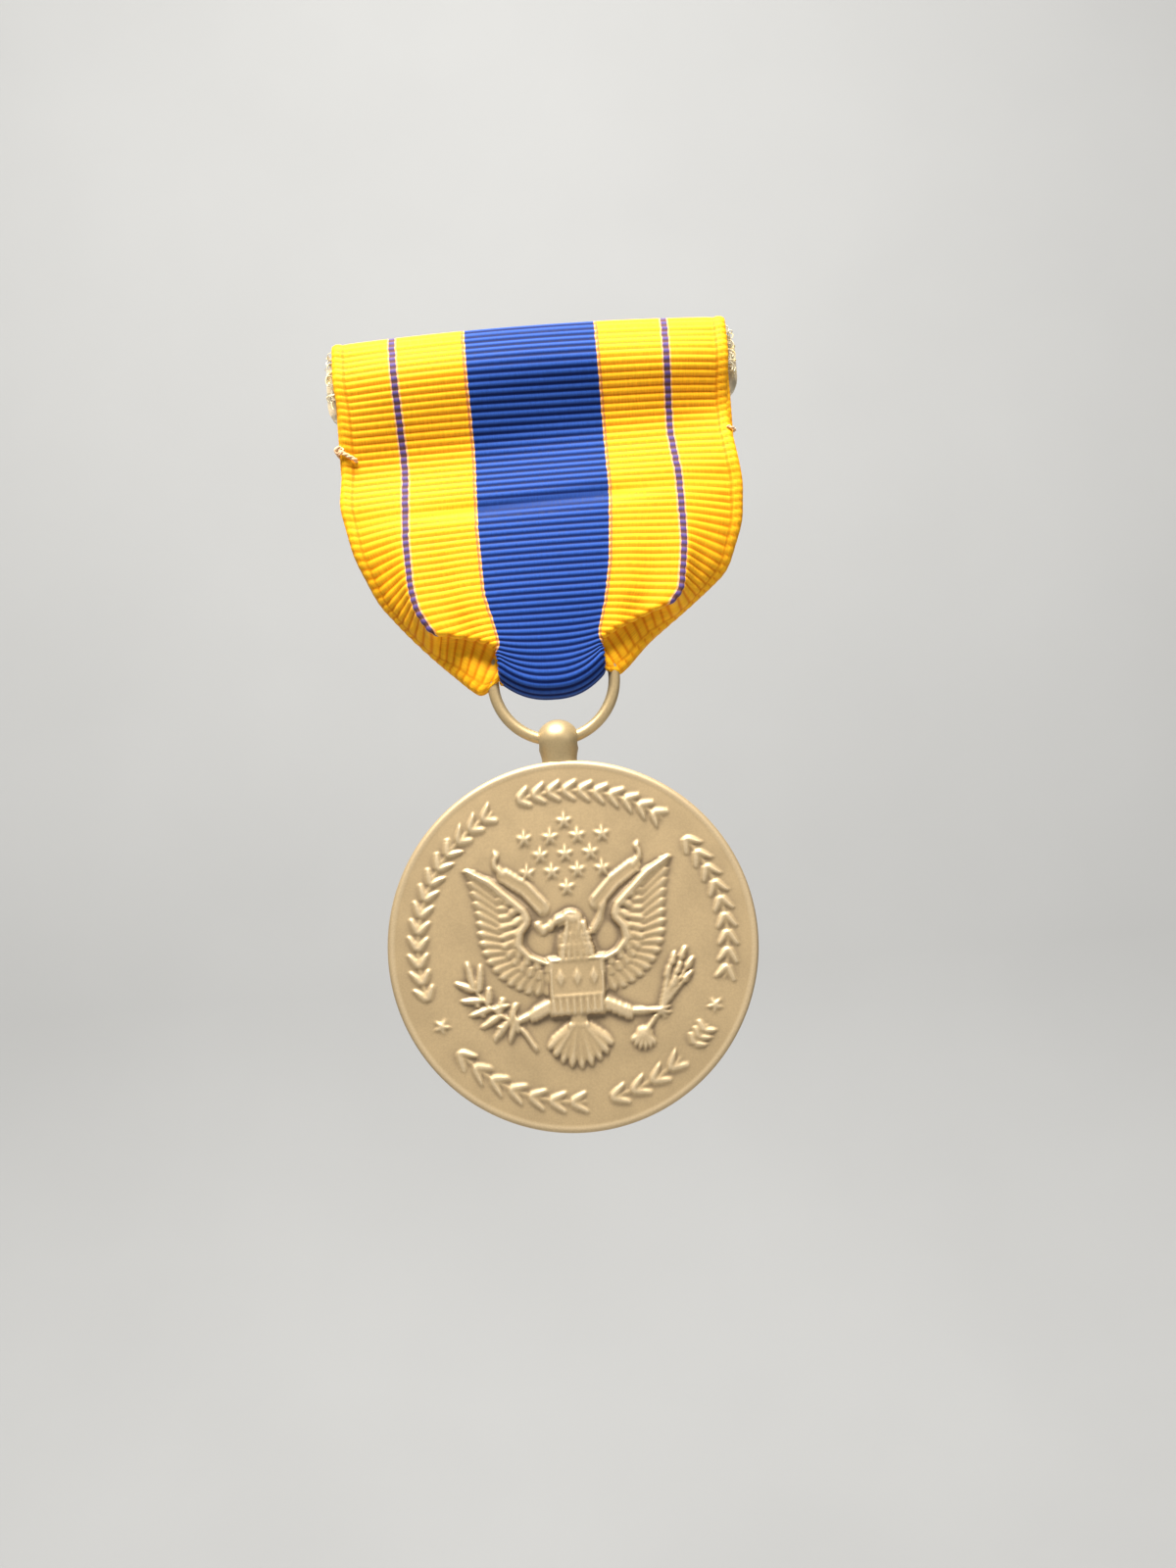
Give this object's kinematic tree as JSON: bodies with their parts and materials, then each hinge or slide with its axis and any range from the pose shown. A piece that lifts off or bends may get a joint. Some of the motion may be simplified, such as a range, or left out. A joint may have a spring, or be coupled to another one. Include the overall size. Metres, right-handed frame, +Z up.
{
  "type": "military service medal",
  "caption": "Round bronze medallion on a ball lug and wire ring, hung from a pleated striped ribbon on a slot brooch with a hinged pin and a turning safety catch.",
  "frame": {"origin": "on the flat pad pressed out of the brooch's back, midway between the pin hinge and the catch", "axes": "+Z up the hanging medal, -Y out of its front, +Y out of its back towards the garment, +X to the viewer's right as seen from the front"},
  "size_m": [0.0366, 0.0092, 0.0702],
  "materials": {
    "brooch_brass": "stamped brass, dulled with age",
    "pin_nickel": "drawn wire, satin",
    "ribbon_cloth": "ribbed silk moire weave, golden yellow with a wide blue centre stripe and two blue pinstripes",
    "sewing_thread": "twisted sewing thread, matt",
    "ring_bronze": "pale bronze wire, lightly worn",
    "medal_bronze": "struck bronze, matt antique finish with darker hollows"
  },
  "bodies": {
    "brooch": {"brooch_plate": "brooch_brass", "pin_hinge_bracket": "brooch_brass", "pin_hinge_rivet": "brooch_brass", "catch_housing": "brooch_brass", "ribbon_brooch_wrap": "ribbon_cloth"},
    "pin": {"pin_stem": "pin_nickel"},
    "catch": {"catch_lock": "brooch_brass"},
    "drape": {"ribbon_drape": "ribbon_cloth", "ribbon_turned_end": "ribbon_cloth", "edge_tack_left": "sewing_thread", "edge_tack_right": "sewing_thread", "seam_stitch_1": "sewing_thread", "seam_stitch_2": "sewing_thread", "seam_stitch_3": "sewing_thread", "seam_stitch_4": "sewing_thread", "seam_stitch_5": "sewing_thread", "seam_stitch_6": "sewing_thread", "seam_stitch_7": "sewing_thread", "seam_stitch_8": "sewing_thread", "seam_stitch_9": "sewing_thread"},
    "ring": {"suspension_ring": "ring_bronze"},
    "pendant": {"suspension_ball": "ring_bronze", "medallion": "medal_bronze"}
  },
  "joints": [
    {"name": "pin_hinge", "type": "hinge", "parent": "brooch", "child": "pin", "pos_m": [-0.0138, 0.0028, 0], "axis": [0, 0, 1], "range_deg": [0, 100]},
    {"name": "catch_turn", "type": "hinge", "parent": "brooch", "child": "catch", "pos_m": [0.0129, 0.0028, 0], "axis": [1, 0, 0], "range_deg": [0, 110]},
    {"name": "drape_swing", "type": "hinge", "parent": "brooch", "child": "drape", "pos_m": [0, -0.00228, -0.0022], "axis": [-1, 0, 0], "range_deg": [-25, 60]},
    {"name": "ring_sway", "type": "hinge", "parent": "drape", "child": "ring", "pos_m": [0, -0.00228, -0.02595], "axis": [0, -1, 0], "range_deg": [-30, 30]},
    {"name": "medallion_swing", "type": "hinge", "parent": "ring", "child": "pendant", "pos_m": [0, -0.00228, -0.03123], "axis": [-1, 0, 0], "range_deg": [-100, 100]}
  ]
}
